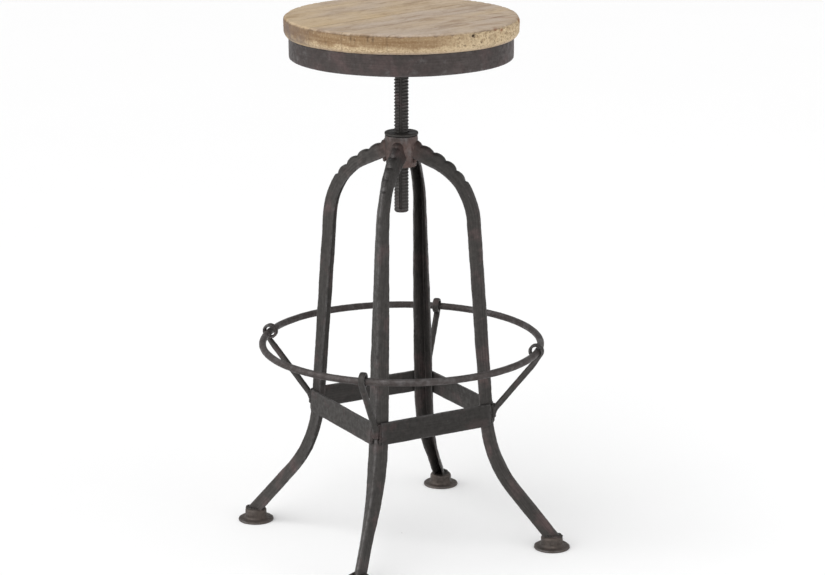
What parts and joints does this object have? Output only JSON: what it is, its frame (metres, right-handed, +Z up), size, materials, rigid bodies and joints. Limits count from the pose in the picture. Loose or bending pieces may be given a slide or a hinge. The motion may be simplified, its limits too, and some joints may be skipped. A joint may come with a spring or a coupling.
{
  "type": "bar stool",
  "caption": "Industrial bar stool: round wooden seat on a screw spindle that sets its height, bent angle-iron legs, ring footrest on struts.",
  "frame": {"origin": "on the floor, on the stool's vertical axis, at the bottom centre of its bounding box", "axes": "+Z up along the screw spindle; the four legs stand on the diagonals, so the stretcher square lies along X and Y"},
  "size_m": [0.44, 0.44, 0.823],
  "materials": {
    "wood": "weathered, dry, rounded edges",
    "band_iron": "dark purple-brown patina, rubbed",
    "wrought_iron": "dark grey-brown patina with lengthwise streaks",
    "casting": "sand-cast, reddish-brown patina",
    "fixings": "dark, oiled"
  },
  "bodies": {
    "base": {"hub": "casting", "leg_1": "wrought_iron", "leg_2": "wrought_iron", "leg_3": "wrought_iron", "leg_4": "wrought_iron", "stretcher_1": "wrought_iron", "stretcher_2": "wrought_iron", "stretcher_3": "wrought_iron", "stretcher_4": "wrought_iron", "footrest_ring": "wrought_iron", "strut_1": "wrought_iron", "strut_2": "wrought_iron", "strut_3": "wrought_iron", "strut_4": "wrought_iron", "foot_1": "casting", "foot_2": "casting", "foot_3": "casting", "foot_4": "casting"},
    "turning_washer": {"key_washer": "fixings"},
    "seat": {"seat_wood": "wood", "seat_band": "band_iron", "seat_plate": "wrought_iron", "seat_flange": "casting", "flange_bolt_1": "fixings", "flange_bolt_2": "fixings", "flange_bolt_3": "fixings", "flange_bolt_4": "fixings", "rim_screw_1": "fixings", "rim_screw_2": "fixings", "rim_screw_3": "fixings", "rim_screw_4": "fixings", "spindle": "wrought_iron"}
  },
  "joints": [
    {"name": "seat_turn", "type": "hinge", "parent": "base", "child": "turning_washer", "pos_m": [0, 0, 0.643], "axis": [0, 0, 1], "range_deg": [-6480, 4320]},
    {"name": "seat_rise", "type": "slide", "parent": "turning_washer", "child": "seat", "axis": [0, 0, 1], "range_m": [-0.0901, 0.0601]}
  ],
  "couplings": [
    {"joint": "seat_rise", "follows": "seat_turn", "m_per_rad": 0.00079577}
  ]
}
